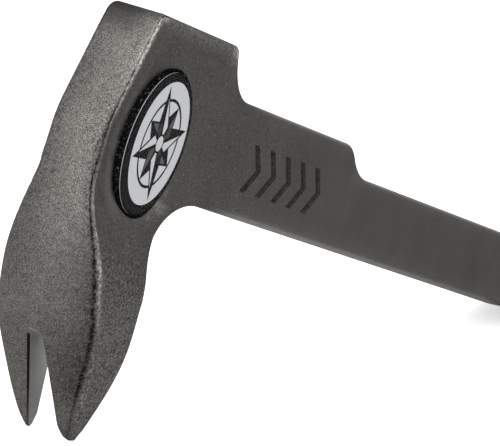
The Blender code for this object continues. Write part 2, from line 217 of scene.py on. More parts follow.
# Where the cutters stand: a cutter is drawn as (across, behind, up) from the middle of its mouth.
SLOT_ROW = (1, 0, SLOT_LEAN, SLOT_SHIFT)
TIP_ROW = (0, 0, 1, -TIP_DROP)
LAST_ROW = (0, 0, 0, 1)
FRONT_VIEW = Matrix(((0, 1, 0, 0), SLOT_ROW, TIP_ROW, LAST_ROW))
SEAM_VIEW = Matrix(((0, 1, -SEAM_SHEAR, SEAM_FOOT), SLOT_ROW, TIP_ROW, LAST_ROW))
RELIEF_VIEW = Matrix(
    (
        (0, math.cos(RELIEF_LEAN), -math.tan(RELIEF_LEAN), RELIEF_BACK),
        SLOT_ROW,
        (0, math.sin(RELIEF_LEAN), 1, -TIP_DROP),
        LAST_ROW,
    )
)
TAIL_VIEW = Matrix(((0, 0, -1, TAIL_END), (1, 0, 0, 0), (0, 1, 0, 0), LAST_ROW))

# A row of stamped chevrons on the neck.
CHEVRON = ((4.6, 0.0), (-0.4, 5.2), (-3.4, 5.2), (1.6, 0.0), (-3.4, -5.2), (-0.4, -5.2))
CHEVRON_FIRST = (53.0, 1.8)
CHEVRON_PITCH = 9.0
CHEVRON_COUNT = 5
CHEVRON_WALL = 0.55
CHEVRON_DEEP = 0.4

# The badge, by radius and by distance out of the tool's middle.
DISC_STEPS = 128
SEAT_RADIUS = 15.65
SEAT_DEPTH = 0.3
PAD_RADIUS = 15.5
PAD_BACK = 5.71
PAD_FRONT = 7.15
PAD_PROFILE = (
    (0.0, PAD_BACK),
    (PAD_RADIUS - 0.05, PAD_BACK),
    (PAD_RADIUS, 6.2),
    (PAD_RADIUS, 6.8),
    (PAD_RADIUS - 0.1, PAD_FRONT - 0.07),
    (PAD_RADIUS - 0.3, PAD_FRONT),
    (0.0, PAD_FRONT),
)
FILM_RADIUS = 14.95
FILM_FRONT = 7.3
FILM_PROFILE = (
    (0.0, PAD_FRONT),
    (FILM_RADIUS, PAD_FRONT),
    (FILM_RADIUS, FILM_FRONT),
    (0.0, FILM_FRONT),
)
DOME_RADIUS = 14.75
DOME_RISE = 0.9
DOME_EDGE = 0.3  # height of the dome's upright edge
DOME_CURVE = 0.992  # share of the radius where the curve starts
DOME_STEPS = 14

# The badge leans: it is sunk in the middle, and more so towards the handle.
BADGE_SINK = 0.525
BADGE_LEAN = 0.0552

# The print: a ring and two stars of (points, tip, waist, turn), in inks on top of each other.
PRINT_RADIUS = 12.95
PRINT_PLACE = (1.5, 0.3)
PRINT_RING = (9.4, 0.6)
SHORT_STAR = (4, 9.0, 4.6, math.radians(65.0))
LONG_STAR = (4, 12.3, 4.1, math.radians(20.0))
HUB_RADIUS = 1.6
OUTLINE = 0.42
INK_THICK = 0.015
INK_BITE = 0.5  # share of its thickness that an ink reaches into the one below
INK_ROOM = 0.12  # height of the room for the inks under the dome
INK_REACH = 14.55

# Finish by place, stored on the forging: how blasted it is.
OUTER_ENDS = (0.4, 1.1)  # the outer face ends this far beside the groove
HEAD_RUN = (30.0, 120.0)
CHEEK_BLAST = 0.15
HEAD_BLAST = 0.4

# Rubbed bright: the bead, the strike face's edge, and spots of (place, reach, how bright).
WEAR = 0.6
WEAR_HEAD = 0.4
WEAR_HEAD_RUN = (4.0, 14.0)
WEAR_DIP = 0.42
WEAR_DIP_SPOT = (-4.0, 10.0)
WEAR_END_RUN = (-46.0, -24.0)
FAR_WEAR = 0.4
STRIKE_WEAR = 0.15
STRIKE_EDGE_RUN = (21.5, 24.0)
WORN_SPOTS = (
    (Vector((24.9, -5.6, 24.0)), 2.2, 0.8),
    (Vector((8.6, -6.0, -14.2)), 1.3, 0.25),
    (Vector((11.6, -6.0, -12.0)), 1.4, 0.4),
    (Vector((14.3, -6.0, -9.2)), 1.3, 0.3),
)

# Painted shade in the near groove, with a haze of painted shade beside it on the outer face.
GROOVE_SHADE_SHARES = (0.6, 1.0)  # at the tip and above it
GROOVE_SHADE_RUN = (-58.0, -50.0)
HAZE = 0.58
HAZE_SPOT = (0.0, 3.2)
HAZE_STOP = 0.5
HAZE_RUN = (14.0, 34.0)
HAZE_TIP_RUN = (-60.0, -50.0)

# Painted shade under the strike face, and less of it on the near half.
STRIKE_SHADE_RUN = (16.5, 22.5)
STRIKE_SHADE_SHARES = (0.3, 1.2)
STRIKE_SHADE_ACROSS = (-4.5, 1.0)

# Coarse grain: on the crest and beside it, on the claw's cheeks and along the strike face.
CLAW_SIDE_RUN = (12.0, 36.0)
COARSE_CREST = (0.6, 1.4)
COARSE_STRIKE = 0.4
COARSE_BESIDE = 0.3
COARSE_BESIDE_SPOT = (0.0, 6.0)

# Painted light and shade: lighter and darker stretches of the steel that stand in for how light
# falls, how much lighter, and where.
FAR_HALF_LIFT = -0.08
FAR_HALF_ACROSS = (-1.0, 6.0)
FAR_HALF_RUN = (-40.0, -30.0)
NEAR_TINE_LIFT = -0.075
NEAR_TINE_RUN = (34.0, 46.0)
NEAR_TINE_SHARES = (0.5, 1.0)  # at the tip and above it
NEAR_TINE_TIP_RUN = (-60.0, -50.0)
FAR_TINE_LIFT = -0.04
FAR_TINE_RUN = (38.0, 46.0)
CLAW_SIDE_LIFT = 0.11
CLAW_SIDE_LIFT_RUN = (22.0, 38.0)
SHOULDER_LIFT = -0.15
SHOULDER_SPOT = (-1.0, 8.0)
SHOULDER_ACROSS = (-2.0, 5.0)
SWELL_LIFT = 0.06
SWELL_SPOT = (-15.0, 5.5)
SWELL_ACROSS = (2.0, 6.5)
LIP_LIFT = 0.12
LIP_UP_RUN = (-19.0, -13.0)
LIP_DOWN_RUN = (0.0, 8.0)
LIP_SPOT = (-1.0, 0.7)
BAR_RUN = (34.0, 60.0)
RIM_LIFT = 0.48
RIM_LIFT_ACROSS = (-6.0, -5.4)
UNDER_LIFT = 0.1
UNDER_SPOT = (-9.0, 2.2)
TOP_LIFT = 0.08
TOP_WIDTH = 1.6
STEP_MIDDLE = 108.0

# Patterns of the finishes: (cells in a metre, detail, roughness).
NOISE = (0.3, 0.7)  # nearly all of a noise lies between these
GRAIN = (5200.0, 2.0, 0.7)
CRUMBS = (2000.0, 3.0, 0.65)
SPECKS = (1900.0, 1.0)
SCUFFS = (1300.0, 3.0, 0.6)
RUST_SPOTS = (900.0, 2.0)
BLOTCHES = (700.0, 3.0)
CLOUDS = (70.0, 3.0)
STREAKS = (500.0, 3.0)
CRUST = (2500.0, 2.0)
STAMP_SCALE = (1500.0, 3.0, 0.6)
FOAM_FLECKS = (2400.0, 1.0)
FOAM_PORES = 1700.0
INK_MOTTLE = (900.0, 2.0)
RESIN_WAVES = (60.0, 2.0)

# How the patterns turn into the forging's tone, from dark to light, and into its spots.
STEEL_TONES = ((0.022, 0.021, 0.0195, 1.0), (0.34, 0.324, 0.306, 1.0))
CLOUD_TONE = (0.195, 0.245)
BLAST_TONE = (0.6, 1.0, 0.0, 0.155)
GRAIN_TONE = (-0.5, 0.5)
BLOTCH_TONE = (-0.06, 0.06)
CRUMB_TONE = (-0.45, 0.45)
# Painted light on the cheek beside the badge, where the pad's shade falls.
BESIDE_BADGE_LIGHT = 0.3  # beside the badge, by metres from its axis, ahead of it and across
BESIDE_REACH = (0.016, 0.02)
BESIDE_AHEAD = (-0.009, -0.0155)
BESIDE_CHEEK = (-0.0045, -0.0055)
RUST = (0.1, 0.076, 0.066, 1.0)
RUST_SPAN = (0.6, 0.72, 0.0, 0.35)
SPECK = (0.36, 0.34, 0.32, 1.0)
SPECK_SPAN = (0.72, 0.78)
SPECK_BLAST = (0.3, 0.5, 0.0, 0.7)
# painted shade under the strike face
STRIKE_SHADE = (0.045, 0.044, 0.043, 1.0)
STRIKE_SHADE_SHARE = 0.7
BARE_STEEL = (0.72, 0.69, 0.65, 1.0)
BARE_SPAN = (0.42, 0.58, 0.2, 1.0)
# painted shade of the near groove
GROOVE_SHADE = (0.012, 0.011, 0.01, 1.0)
GROOVE_SHADE_SPAN = (0.4, 0.62, 1.3, 0.65)
DULL_TINT = (0.5, 0.5, 0.5, 1.0)
STEEL_ROUGH = (0.44, 0.54)
GRAIN_BUMP = 0.6
BUMP_DEEP = 0.0001
MIX_COLOURS = (6, 7)  # a Mix node's colour sockets, by number
MIX_RESULT = 2

# The other finishes. A rise or fall is a height off the floor.
GROUND_TONES = ((0.175, 0.173, 0.167, 1.0), (0.225, 0.222, 0.215, 1.0))
# Painted light: the ground steel turns lighter towards the top of the slots, between these heights.
GROUND_PAINTED_LIGHT = (0.36, 0.357, 0.345, 1.0)
GROUND_PAINTED_LIGHT_RISE = (0.008, 0.021)
GROUND_ROUGH = (0.4, 0.5)
GROUND_BUMP = (0.15, 0.00005)
# Painted shade on the slot's seam: near black, lighter towards the tine's end.
SEAM_SHADE_TONES = ((0.002, 0.002, 0.002, 1.0), (0.012, 0.0115, 0.011, 1.0))
SEAM_CRUST = (0.35, 0.7)
SEAM_SHADE_END = (0.05, 0.049, 0.047, 1.0)
SEAM_FALL = (0.01, 0.002)
SEAM_ROUGH = 0.8
SEAM_SHINE = 0.05
SEAM_BUMP = 0.4
STAMP_TONES = ((0.016, 0.0155, 0.015, 1.0), (0.06, 0.058, 0.055, 1.0))
STAMP_ROUGH = (0.4, 0.55)
STAMP_BUMP = 0.3
FOAM_TONES = ((0.001, 0.001, 0.001, 1.0), (0.004, 0.004, 0.004, 1.0))
FOAM_PORE_SPAN = (0.1, 0.6)
FOAM_FLECK = (0.09, 0.09, 0.09, 1.0)
FOAM_FLECK_SPAN = (0.63, 0.71)
FOAM_ROUGH = 0.9
FOAM_BUMP = 0.6
FILM_INKS = (
    ("dark_border", (0.009, 0.009, 0.01)),
    ("film_edge", (0.4, 0.4, 0.41)),
    ("white_print", (0.585, 0.595, 0.615)),
    ("black_print", (0.012, 0.012, 0.013)),
    ("grey_print", (0.12, 0.12, 0.122)),
)
INK_DIM = 0.94
INK_ROUGH = 0.5
RESIN = (0.02, 0.02, 0.02, 1.0)
RESIN_ALPHA = 0.04
RESIN_IOR = 1.49
RESIN_ROUGH = (0.03, 0.06)
FORGING_SHARP = math.radians(32.0)
BADGE_SHARP = math.radians(40.0)

# Studio, in metres, with the camera's turn in degrees.
CAMERA_PLACE = (-0.863138, -0.348479, 0.219921)
CAMERA_TURN = (78.079807, -14.496456, -63.77797)
CAMERA_LENS = 299.679
CAMERA_SENSOR = 36.0
KEY_PLACE = Vector((-1.12, -0.1, 0.62))
KEY_TARGET = Vector((-0.1, 0.0, 0.05))
KEY_SIZE = 0.9
KEY_POWER = 10.0
WHITE = (1.0, 1.0, 1.0, 1.0)
FLOOR_SIZE = 6.0
FLOOR_COLOUR = (0.82, 0.82, 0.82, 1.0)
FLOOR_ROUGH = 0.9
FLOOR_GLOW = 0.6


def smooth(value, start, stop):
    """0 at start, 1 at stop, and level at both."""
    share = min(max((value - start) / (stop - start), 0.0), 1.0)
    return share * share * (3.0 - 2.0 * share)


def bump_at(value, middle, width):
    """1 at the middle, and fading to 0 on both sides of it."""
    return math.exp(-(((value - middle) / width) ** 2))


def mixed(ends, share):
    return ends[0] + (ends[1] - ends[0]) * share


def verts_of(geometry):
    return [item for item in geometry if isinstance(item, bmesh.types.BMVert)]


def corner_reach(places, corners):
    """Length that each corner's rounding takes of its edges, limited to what those edges hold."""
    count = len(places)
    turns = []
    wanted = []
    for index, place in enumerate(places):
        into = place - places[index - 1]
        out = places[(index + 1) % count] - place
        turns.append(into.angle(out))
        wanted.append(corners[index][2] * math.tan(turns[-1] / 2.0))
    reach = list(wanted)
    for index in range(count):
        following = (index + 1) % count
        length = (places[following] - places[index]).length
        asked = wanted[index] + wanted[following]
        if asked > length:
            reach[index] = min(reach[index], wanted[index] * length / asked)
            reach[following] = min(reach[following], wanted[following] * length / asked)
    return turns, reach


def rounded_face(shape, corners):
    """Fills a closed outline of (across, up, radius) corners in the plane y = 0.

    Each corner's arc is spun about its centre.
    """
    places = [Vector((across, 0.0, up)) for across, up, _ in corners]
    turns, reach = corner_reach(places, corners)
    drawn = set(shape.edges)
    first = last = None
    for index, place in enumerate(places):
        into = (place - places[index - 1]).normalized()
        out = (places[(index + 1) % len(places)] - place).normalized()
        start = shape.verts.new(place - into * reach[index])
        if last is not None:
            shape.edges.new((last, start))
        first = first or start
        last = start
        if reach[index] > 0.0:
            axis = into.cross(out).normalized()
            radius = reach[index] / math.tan(turns[index] / 2.0)
            centre = start.co + axis.cross(into) * radius
            step = max(ARC_STEP, ARC_CHORD / radius)
            steps = max(ARC_STEPS, math.ceil(turns[index] / step))
            spun = bmesh.ops.spin(
                shape, geom=[start], cent=centre, axis=axis, angle=turns[index], steps=steps
            )
            last = verts_of(spun["geom_last"])[0]
    shape.edges.new((last, first))
    outline = [edge for edge in shape.edges if edge not in drawn]
    return bmesh.ops.contextual_create(shape, geom=outline)["faces"][0]


def thicken(shape, face, along):
    """Extrudes a lone face into a solid."""
    moved = bmesh.ops.extrude_face_region(shape, geom=[face])["geom"]
    bmesh.ops.translate(shape, verts=verts_of(moved), vec=along)
    bmesh.ops.recalc_face_normals(shape, faces=shape.faces)


def to_object(shape, name):
    mesh = bpy.data.meshes.new(name)
    shape.to_mesh(mesh)
    shape.free()
    obj = bpy.data.objects.new(name, mesh)
    bpy.context.scene.collection.objects.link(obj)
    return obj


def settle(obj):
    """Replaces the object's mesh by what its modifiers make of it."""
    graph = bpy.context.evaluated_depsgraph_get()
    before = obj.data
    mesh = bpy.data.meshes.new_from_object(obj.evaluated_get(graph))
    obj.modifiers.clear()
    obj.data = mesh
    bpy.data.meshes.remove(before)
    mesh.name = obj.name


def slice_faces(shape, picked, axis, places):
    for place in places:
        faces = [face for face in shape.faces if picked(face)]
        edges = {edge for face in faces for edge in face.edges}
        verts = {vert for face in faces for vert in face.verts}
        bmesh.ops.bisect_plane(
            shape, geom=[*verts, *edges, *faces], plane_co=axis * place, plane_no=axis, dist=WELD
        )


def rows(start, stop, step):
    count = max(LEAST_ROWS, round(abs(stop - start) / step))
    return [start + (stop - start) * row / count for row in range(count + 1)]


def any_face(face):
    return face.is_valid


def outer_face(face):
    return face.normal.x < OUTER_SLANT and abs(face.normal.y) < WALL_SLANT


def tine_face(face):
    return outer_face(face) and face.calc_center_median().z < -TINE_DROP


def tip_face(face):
    return face.calc_center_median().z < -TIP_FROM and abs(face.normal.y) < WALL_SLANT


def cheek_face(face):
    return abs(face.normal.y) > CHEEK_SLANT and face.calc_center_median().z > -FLARE_TOP


def crest_cheek(face):
    return cheek_face(face) and face.calc_center_median().z < CREST_CHEEK_TOP


def claw_cheek(face):
    return abs(face.normal.y) > CLAW_SLANT and face.calc_center_median().z < -FLARE_TOP


# Cuts that divide the blank's faces: (faces, direction, from, to, step).
FACE_CUTS = (
    (outer_face, UP, HEAD_TOP, -FLARE_TOP, ROW_STEP),
    (any_face, UP, -FLARE_TOP, TIP_MARGIN - TIP_DROP, ROW_STEP),
    (any_face, ALONG, TAIL_FLARE[0], TAIL_END - TAIL_MARGIN, TAIL_STEP),
    (outer_face, ACROSS, -FLAT_HALF, FLAT_HALF, COLUMN_STEP),
    (tine_face, ACROSS, -FLAT_HALF, -TIP_COLUMNS, TIP_STEP),
    (tine_face, ACROSS, FLAT_HALF, TIP_COLUMNS, TIP_STEP),
    (tip_face, ACROSS, -TIP_COLUMNS, TIP_COLUMNS, TIP_STEP),
    (cheek_face, SLOPE_NORMAL, *SLOPE_RUN, SLOPE_STEP),
    (cheek_face, ALONG, CHEEK_FRONT, TAIL_FLARE[0], CHEEK_STEP),
    (cheek_face, UP, *CHEEK_RUN, CHEEK_ROW_STEP),
    (crest_cheek, ALONG, *CREST_CHEEK_RUN, CREST_CHEEK_STEP),
    (claw_cheek, ALONG, *CLAW_CHEEK_RUN, CLAW_CHEEK_STEP),
    (claw_cheek, ALONG, *CLAW_BACK_RUN, CLAW_BACK_STEP),
)


def claw_width(height):
    swell = smooth(-height, FLARE_TOP, CLAW_FULL)
    share = max(0.0, (-height - CLAW_CLOSING) / (TIP_DROP - CLAW_CLOSING))
    return THICK + (CLAW_WIDTH - THICK) * swell - (CLAW_WIDTH - TIP_WIDTH) * share**2


def crown_drop(place):
    """How far the crown draws a place of the outer face back."""
    across = min(abs(place.y), CROWN_RADIUS)
    whole = CROWN_RADIUS - math.sqrt(CROWN_RADIUS**2 - across**2)
    if place.y > 0.0:
        whole *= 1.0 - FAR_CROWN * smooth(-place.z, *FAR_CROWN_RUN)
    return whole * smooth(-place.z, *CROWN_RUN)


def rim_width(normal, place):
    """How wide the rim beside a wall of this normal is rounded."""
    top, under = max(normal.z, 0.0), max(-normal.z, 0.0)
    outer, inner = max(-normal.x, 0.0), max(normal.x, 0.0)
    crest = mixed(RIM_OUTER, smooth(place.z, *RIM_OUTER_RUN))
    below = RIM_UNDER if place.x > 0.0 and place.z > -RIM_UNDER_DROP else crest
    width = top * RIM_TOP + under * below + outer * crest + inner * RIM_INNER
    width /= top + under + outer + inner
    tip_run = RIM_TIP_RUN if normal.x < 0.0 else RIM_BACK_RUN
    tip = smooth(place.z, -TIP_DROP, -TIP_DROP + tip_run)
    tail = smooth(-place.x, -TAIL_END, -TAIL_END + RIM_TAIL_RUN)
    return RIM_TIP + (width - RIM_TIP) * min(tip, tail)


def blank_forging():
    """The side outline, thickened, with its rims rounded; also the outline's places and normals."""
    shape = bmesh.new()
    face = rounded_face(shape, SIDE_CORNERS)
    bmesh.ops.remove_doubles(shape, verts=shape.verts, dist=SLIVER)
    for edge in list(face.edges):
        cuts = int(edge.calc_length() / EDGE_STEP)
        if cuts:
            bmesh.ops.subdivide_edges(shape, edges=[edge], cuts=cuts)
    bmesh.ops.translate(shape, verts=shape.verts, vec=(0.0, -THICK / 2.0, 0.0))
    thicken(shape, face, (0.0, THICK, 0.0))
    weights = shape.edges.layers.float.new("bevel_weight_edge")
    outline = []
    for edge in shape.edges:
        if edge.verts[0].co.y * edge.verts[1].co.y < 0.0:
            continue
        wall = min(edge.link_faces, key=lambda face: abs(face.normal.y))
        middle = (edge.verts[0].co + edge.verts[1].co) / 2.0
        edge[weights] = rim_width(wall.normal, middle) / RIM_WIDEST
        if middle.y < 0.0:
            normal = Vector((wall.normal.x, 0.0, wall.normal.z))
            outline.extend((Vector((v.co.x, 0.0, v.co.z)), normal) for v in edge.verts)
            outline.append((Vector((middle.x, 0.0, middle.z)), normal))
    bar = to_object(shape, "forging")
    rounding = bar.modifiers.new("rims", "BEVEL")
    rounding.width = RIM_WIDEST
    rounding.segments = RIM_SEGMENTS
    rounding.limit_method = "WEIGHT"
    rounding.use_clamp_overlap = False
    settle(bar)
    return bar, outline


def crest_at(place):
    """The crest's groove and bead at a place's height."""
    height = max(min(place.z, CREST_STEPS[0][0]), CREST_STEPS[-1][0])
    for upper, lower in zip(CREST_STEPS, CREST_STEPS[1:]):
        if height >= lower[0]:
            break
    share = (upper[0] - height) / (upper[0] - lower[0])
    found = [mixed(ends, share) for ends in zip(upper[1:], lower[1:])]
    if place.y > 0.0:
        found[0] = FAR_GROOVE
    return found


def crest_shares(place, side):
    """How much a place across the crest is in the groove and on the bead."""
    groove, wide, _, beside, bead_wide, _ = crest_at(place)
    if side < groove:
        wide *= mixed(GROOVE_LEADS, smooth(place.z, *GROOVE_LEAD_RUN))
    return bump_at(side, groove, wide), bump_at(side, groove + beside, bead_wide)


def flare(place):
    """Moves a place of the straight blank out to the claw's or the tail's width.

    The rims keep their shape.
    """
    if place.z < -FLARE_TOP:
        wider = (claw_width(place.z) - THICK) / 2.0
        if place.y > 0.0:
            wider *= 1.0 - FAR_SLIM * bump_at(place.z, *FAR_SLIM_SPOT)
    else:
        wider = (TAIL_WIDTH - THICK) / 2.0 * smooth(place.x, *TAIL_FLARE)
    place.y += wider * max(-1.0, min(place.y / FLAT_HALF, 1.0))


def place_tree(places):
    tree = kdtree.KDTree(len(places))
    for index, place in enumerate(places):
        tree.insert(place, index)
    tree.balance()
    return tree


def measure(shape, outline):
    """How far across the crest each place near it is, and how much each place takes of the crown."""
    outer = [(place, normal) for place, normal in outline if normal.x < OUTER_SLANT]
    outer_tree = place_tree([place for place, _ in outer])
    inner_tree = place_tree([place for place, normal in outline if normal.x >= OUTER_SLANT])
    across = {}
    crowned = {}
    for vert in shape.verts:
        flat_place = Vector((vert.co.x, 0.0, vert.co.z))
        _, index, ahead = outer_tree.find(flat_place)
        _, _, astern = inner_tree.find(flat_place)
        crowned[vert] = (astern + WELD) / (ahead + astern + WELD)
        if ahead < CREST_REACH and ahead < astern:
            place, normal = outer[index]
            behind = (place - flat_place).dot(normal)
            across[vert] = behind - (THICK / 2.0 - abs(vert.co.y))
    return across, crowned


def crown(place, share):
    """Draws a place back by its share of the crown, and rounds the tines' ends."""
    back = ROCKER_CENTRE - place
    back.y = 0.0
    back.normalize()
    tip = smooth(-place.z, *TIP_CROWN_RUN)
    back.z *= 1.0 - TIP_KEEPS * tip
    place += back * crown_drop(place) * mixed((share, 1.0), tip)
    middle, half, lifted, raised = FAR_TIP if place.y > 0.0 else NEAR_TIP
    aside = min(TIP_ASIDE, ((abs(place.y) - middle) / half) ** 2)
    place.z += (raised + lifted * aside) * smooth(-place.z, TIP_FROM, TIP_DROP)


def make_forging():
    """The forging before it is cut, and its crest's places with how far across the crest they are."""
    bar, outline = blank_forging()
    shape = bmesh.new()
    shape.from_mesh(bar.data)
    shape.normal_update()
    for picked, axis, start, stop, step in FACE_CUTS:
        slice_faces(shape, picked, axis, rows(start, stop, step))
    across, crowned = measure(shape, outline)
    for vert in shape.verts:
        tilt = STRIKE_TILT * smooth(vert.co.z, *STRIKE_TILT_RUN)
        vert.co.z -= tilt * (vert.co.y + THICK / 2.0)
        flare(vert.co)
    for vert, share in crowned.items():
        crown(vert.co, share)
    shape.normal_update()
    for vert, side in across.items():
        fade = smooth(vert.co.z, *CREST_TIP_RUN) * smooth(-vert.co.z, *CREST_TOP_RUN)
        groove, bead = crest_shares(vert.co, side)
        _, _, deep, _, _, high = crest_at(vert.co)
        lumps = 1.0 + CREST_LUMPS * noise.noise(vert.co / CREST_LUMP)
        vert.co += vert.normal * (high * bead - deep * groove) * lumps * fade
    marks = [(vert.co.copy(), side) for vert, side in across.items()]
    shape.to_mesh(bar.data)
    shape.free()
    return bar, marks


def strike_edge(place, outer):
    return smooth(place.z, *STRIKE_EDGE_RUN) * (1.0 - outer)


def claw_side(place, outer):
    return smooth(-place.z, *CLAW_SIDE_RUN) * (1.0 - outer)


def wear_at(place, bead, outer):
    worn = WEAR + WEAR_HEAD * smooth(place.z, *WEAR_HEAD_RUN)
    worn -= WEAR_DIP * bump_at(place.z, *WEAR_DIP_SPOT)
    worn *= bead * smooth(place.z, *WEAR_END_RUN)
    if place.y >= 0.0:
        worn *= FAR_WEAR
    for spot, reach, share in WORN_SPOTS:
        worn = max(worn, share * bump_at((place - spot).length, 0.0, reach))
    return max(worn, STRIKE_WEAR * strike_edge(place, outer))


# Painted shade in the near groove, and a haze of painted shade beside it on the outer face.
def groove_shade_at(place, groove, beside):
    if place.y >= 0.0:
        return 0.0
    haze = bump_at(min(beside, 0.0), *HAZE_SPOT) if beside < HAZE_STOP else 0.0
    haze *= HAZE * smooth(-place.z, *HAZE_RUN) * smooth(place.z, *HAZE_TIP_RUN)
    return max(groove * mixed(GROOVE_SHADE_SHARES, smooth(place.z, *GROOVE_SHADE_RUN)), haze)


# Painted shade under the strike face.
def strike_shade_at(place, outer):
    across = mixed(STRIKE_SHADE_SHARES, smooth(place.y, *STRIKE_SHADE_ACROSS))
    return smooth(place.z, *STRIKE_SHADE_RUN) * outer * across


def coarse_at(place, side, beside, outer):
    return max(
        bump_at(side, *COARSE_CREST),
        claw_side(place, outer),
        COARSE_STRIKE * strike_edge(place, outer),
        COARSE_BESIDE * bump_at(beside, *COARSE_BESIDE_SPOT),
    )


def head_painted_light(place, beside, outer):
    """How much painted light and shade the head and the claw get at a place."""
    painted_light = FAR_HALF_LIFT * smooth(place.y, *FAR_HALF_ACROSS) * smooth(place.z, *FAR_HALF_RUN)
    painted_light += SHOULDER_LIFT * bump_at(place.z, *SHOULDER_SPOT) * smooth(-place.y, *SHOULDER_ACROSS)
    painted_light += SWELL_LIFT * bump_at(place.z, *SWELL_SPOT) * smooth(-place.y, *SWELL_ACROSS)
    lip = 0.0
    if place.y < 0.0:
        tine = mixed(NEAR_TINE_SHARES, smooth(place.z, *NEAR_TINE_TIP_RUN))
        painted_light += NEAR_TINE_LIFT * smooth(-place.z, *NEAR_TINE_RUN) * tine
        lip = smooth(place.z, *LIP_UP_RUN) * smooth(-place.z, *LIP_DOWN_RUN)
    else:
        painted_light += FAR_TINE_LIFT * smooth(-place.z, *FAR_TINE_RUN)
    claw = claw_side(place, outer) * smooth(-place.z, *CLAW_SIDE_LIFT_RUN)
    return painted_light * outer + CLAW_SIDE_LIFT * claw + LIP_LIFT * lip * bump_at(beside, *LIP_SPOT)


def bar_painted_light(place):
    """How much painted light the neck and the bar get at a place, along their rims."""
    top = NECK_TOP if place.x < STEP_MIDDLE else BAR_TOP
    painted_light = RIM_LIFT * smooth(-abs(place.y), *RIM_LIFT_ACROSS)
    painted_light += UNDER_LIFT * bump_at(place.z, *UNDER_SPOT)
    painted_light += TOP_LIFT * bump_at(place.z, top, TOP_WIDTH)
    return painted_light * smooth(place.x, *BAR_RUN)


def mark_surface(bar, marks):
    """Stores how blasted, worn and coarse each place of the forging is, with its painted shade in the
    groove and under the strike face, and its painted light and shade.
    """
    tree = place_tree([place for place, _ in marks])
    names = ("blasted", "worn", "groove_shade", "strike_shade", "coarse", "painted_light")
    for name in names:
        bar.data.attributes.new(name, "FLOAT", "POINT")
    layers = [bar.data.attributes[name] for name in names]
    for vert in bar.data.vertices:
        place = vert.co
        _, index, distance = tree.find(place)
        side = marks[index][1] if distance < CREST_NEAR else CREST_FAR
        groove, bead = crest_shares(place, side)
        beside = side - crest_at(place)[0]
        outer = 1.0 - smooth(beside, *OUTER_ENDS)
        head = 1.0 - smooth(place.x, *HEAD_RUN)
        values = (
            max(outer, CHEEK_BLAST + HEAD_BLAST * head),
            wear_at(place, bead, outer),
            groove_shade_at(place, groove, beside),
            strike_shade_at(place, outer),
            coarse_at(place, side, beside, outer),
            # painted light and shade of the head, the claw and the bar
            head_painted_light(place, beside, outer) + bar_painted_light(place),
        )
        for layer, value in zip(layers, values):
            layer.data[vert.index].value = value


def slot_corners(depth, mouth, end, rounds, grown=0.0):
    """A slot open downwards that widens from its closed end to its mouth, which is at height 0."""
    top, foot = end / 2.0 + grown, mouth / 2.0 + grown
    foot += (foot - top) * OVERRUN / depth
    return (
        (top, depth + grown, rounds[1] + grown),
        (-top, depth + grown, rounds[0] + grown),
        (-foot, -OVERRUN, 0.0),
        (foot, -OVERRUN, 0.0),
    )


def slot_cutter(name, slot, reach, place):
    shape = bmesh.new()
    face = rounded_face(shape, slot_corners(*slot))
    bmesh.ops.translate(shape, verts=shape.verts, vec=(0.0, -reach, 0.0))
    thicken(shape, face, (0.0, 2.0 * reach, 0.0))
    bmesh.ops.transform(shape, matrix=place, verts=shape.verts)
    bmesh.ops.recalc_face_normals(shape, faces=shape.faces)
    return to_object(shape, name)


def loft_cutter(name, slot, rings, place):
    """A cutter between two outlines of a slot, each (behind, grown, aside)."""
    shape = bmesh.new()
    faces = []
    for behind, grown, aside in rings:
        face = rounded_face(shape, slot_corners(*slot, grown))
        bmesh.ops.translate(shape, verts=face.verts, vec=(aside, behind, 0.0))
        faces.append(face)
    bmesh.ops.bridge_loops(shape, edges=[edge for face in faces for edge in face.edges])
    bmesh.ops.transform(shape, matrix=place, verts=shape.verts)
    bmesh.ops.recalc_face_normals(shape, faces=shape.faces)
    return to_object(shape, name)


def seat_cutter(name):
    shape = bmesh.new()
    bmesh.ops.create_cone(
        shape,
        cap_ends=True,
        segments=DISC_STEPS,
        radius1=SEAT_RADIUS,
        radius2=SEAT_RADIUS,
        depth=CLAW_WIDTH,
    )
    place = Matrix.Translation((0.0, SEAT_DEPTH - (THICK + CLAW_WIDTH) / 2.0, 0.0))
    place @= Matrix.Rotation(math.pi / 2.0, 4, "X")
    bmesh.ops.transform(shape, matrix=place, verts=shape.verts)
    return to_object(shape, name)


def chevron_cutter(name):
    """A row of chevrons with sloping walls, to be sunk into the neck."""
    shape = bmesh.new()
    first, middle = CHEVRON_FIRST
    front = -THICK / 2.0 - OVERRUN
    for number in range(CHEVRON_COUNT):
        start = first + CHEVRON_PITCH * number
        verts = [shape.verts.new((start + along, front, middle + up)) for along, up in CHEVRON]
        thicken(shape, shape.faces.new(verts), (0.0, OVERRUN, 0.0))
    ends = [face for face in shape.faces if face.normal.y > CLAW_SLANT]
    bmesh.ops.inset_region(
        shape, faces=ends, thickness=CHEVRON_WALL, depth=CHEVRON_DEEP, use_even_offset=True
    )
    return to_object(shape, name)


def cut(target, cutters):
    """Cuts these (cutter, material) pairs away; the new faces take the cutter's material."""
    for cutter, material in cutters:
        cutter.data.materials.append(material)
        boolean = target.modifiers.new(cutter.name, "BOOLEAN")
        boolean.operation = "DIFFERENCE"
        boolean.solver = "EXACT"
        boolean.material_mode = "TRANSFER"
        boolean.object = cutter
    settle(target)
    for cutter, _ in cutters:
        bpy.data.meshes.remove(cutter.data)


def lathe(name, profile):
    """Spins a profile of (radius, front) points about the badge's axis, where it starts and ends."""
    shape = bmesh.new()
    verts = [shape.verts.new((radius, -front, 0.0)) for radius, front in profile]
    edges = [shape.edges.new(pair) for pair in zip(verts, verts[1:])]
    bmesh.ops.spin(
        shape,
        geom=[*verts, *edges],
        cent=(0, 0, 0),
        axis=(0, 1, 0),
        angle=2.0 * math.pi,
        steps=DISC_STEPS,
        use_merge=True,
    )
    bmesh.ops.remove_doubles(shape, verts=shape.verts, dist=WELD)
    bmesh.ops.recalc_face_normals(shape, faces=shape.faces)
    return to_object(shape, name)


